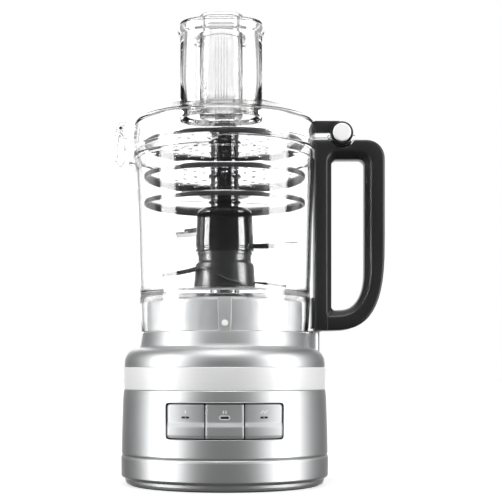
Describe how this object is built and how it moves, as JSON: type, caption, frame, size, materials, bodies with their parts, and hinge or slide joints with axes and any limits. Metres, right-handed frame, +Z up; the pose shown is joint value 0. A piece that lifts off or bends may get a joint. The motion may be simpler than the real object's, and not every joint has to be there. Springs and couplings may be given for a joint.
{
  "type": "food processor",
  "caption": "Countertop food processor: silver geared-motor base with press keys, clear bowl with black handle, hinged lid with feed chute and pushers, tools on the drive.",
  "frame": {"origin": "on the floor under the bowl's axis", "axes": "+X towards the handle, -Y towards the keys, +Z up along the drive shaft"},
  "size_m": [0.2406, 0.1888, 0.4084],
  "materials": {
    "silver_housing": "metallic silver painted plastic, satin gloss",
    "trim_metal": "fine brushed band",
    "key_plastic": "metallic silver plastic",
    "lamp": "frosted light window",
    "black_rubber": "matt moulded rubber",
    "black_plastic": "satin black moulded plastic",
    "gloss_black": "glossy black moulded plastic",
    "grey_plastic": "satin dark grey moulded plastic",
    "steel": "ground stainless steel",
    "pin_chrome": "polished caps",
    "lamination": "stacked steel sheets",
    "copper": "enamelled copper, bare on the commutator",
    "cast_alloy": "die cast alloy",
    "white_plastic": "natural acetal",
    "board": "solder mask green",
    "carbon": "pressed carbon",
    "clear_plastic": "clear copolyester, polished"
  },
  "bodies": {
    "base": {"foot_ring": "black_rubber", "bottom_cover": "black_plastic", "bottom_screws": "steel", "lower_housing": "silver_housing", "main_housing": "silver_housing", "trim_band": "trim_metal", "top_housing": "silver_housing", "button_bezel": "black_plastic", "cord_gland": "black_rubber", "interlock_tower": "silver_housing", "safety_switch": "black_plastic", "control_board": "board", "tact_switches": "black_plastic", "gearbox_plate": "cast_alloy", "motor_stator": "lamination", "field_windings": "copper", "upper_end_bell": "cast_alloy", "lower_end_bell": "cast_alloy", "motor_screws": "steel", "carbon_brushes": "carbon", "lower_bearing": "steel", "upper_bearing": "steel", "shaft_seal": "black_rubber"},
    "rotor": {"rotor_core": "lamination", "rotor_shaft": "steel", "commutator": "copper", "cooling_fan": "black_plastic", "motor_pinion": "steel"},
    "output": {"output_gear": "white_plastic", "drive_shaft": "steel"},
    "low_button": {"low_key": "key_plastic", "low_lamp": "lamp"},
    "high_button": {"high_key": "key_plastic", "high_lamp": "lamp"},
    "pulse_button": {"pulse_key": "key_plastic", "pulse_lamp": "lamp"},
    "bowl": {"work_bowl": "clear_plastic", "handle": "black_plastic", "handle_screws": "steel", "hinge_pin": "pin_chrome", "interlock_spring": "steel"},
    "interlock": {"interlock_rod": "white_plastic"},
    "lid": {"lid": "clear_plastic", "feed_chute": "clear_plastic", "lid_hinge_arm": "black_plastic", "latch_pin": "steel"},
    "latch": {"lid_latch": "clear_plastic"},
    "large_pusher": {"large_pusher": "clear_plastic"},
    "small_pusher": {"small_pusher": "clear_plastic"},
    "tool_stack": {"drive_adapter": "gloss_black", "dough_blade": "grey_plastic", "chopping_hub": "gloss_black", "chopping_blades": "steel", "disc_stem": "black_plastic", "disc_plate_top": "steel", "disc_rim_top": "black_plastic", "disc_plate_mid": "steel", "disc_rim_mid": "black_plastic", "disc_plate_low": "steel", "disc_rim_low": "black_plastic"}
  },
  "joints": [
    {"name": "drive_spin", "type": "hinge", "parent": "base", "child": "output", "pos_m": [0, 0, 0.1], "axis": [0, 0, 1], "continuous": true},
    {"name": "rotor_spin", "type": "hinge", "parent": "base", "child": "rotor", "pos_m": [-0.045, 0, 0.05], "axis": [0, 0, 1], "continuous": true},
    {"name": "low_press", "type": "slide", "parent": "base", "child": "low_button", "axis": [0, 1, 0], "range_m": [0, 0.002], "stiffness_N_per_m": 500},
    {"name": "high_press", "type": "slide", "parent": "base", "child": "high_button", "axis": [0, 1, 0], "range_m": [0, 0.002], "stiffness_N_per_m": 500},
    {"name": "pulse_press", "type": "slide", "parent": "base", "child": "pulse_button", "axis": [0, 1, 0], "range_m": [0, 0.002], "stiffness_N_per_m": 500},
    {"name": "bowl_lift", "type": "slide", "parent": "base", "child": "bowl", "axis": [0, 0, 1], "range_m": [0, 0.085]},
    {"name": "tool_spin", "type": "hinge", "parent": "bowl", "child": "tool_stack", "pos_m": [0, 0, 0.2], "axis": [0, 0, 1], "continuous": true},
    {"name": "lid_hinge", "type": "hinge", "parent": "bowl", "child": "lid", "pos_m": [0.104, 0, 0.3127], "axis": [0, 1, 0], "range_deg": [0, 95]},
    {"name": "interlock_slide", "type": "slide", "parent": "bowl", "child": "interlock", "axis": [0, 0, 1], "range_m": [0, 0.003], "deforming": ["interlock_spring"]},
    {"name": "latch_pivot", "type": "hinge", "parent": "lid", "child": "latch", "pos_m": [-0.0926, 0, 0.3175], "axis": [0, 1, 0], "range_deg": [0, 50]},
    {"name": "large_pusher_slide", "type": "slide", "parent": "lid", "child": "large_pusher", "axis": [0, 0, 1], "range_m": [0, 0.085]},
    {"name": "small_pusher_slide", "type": "slide", "parent": "large_pusher", "child": "small_pusher", "axis": [0, 0, 1], "range_m": [0, 0.09]}
  ],
  "couplings": [
    {"joint": "rotor_spin", "follows": "drive_spin", "ratio": -5},
    {"joint": "tool_spin", "follows": "drive_spin", "ratio": 1},
    {"joint": "interlock_slide", "follows": "lid_hinge", "m_per_rad": 0.0018}
  ]
}
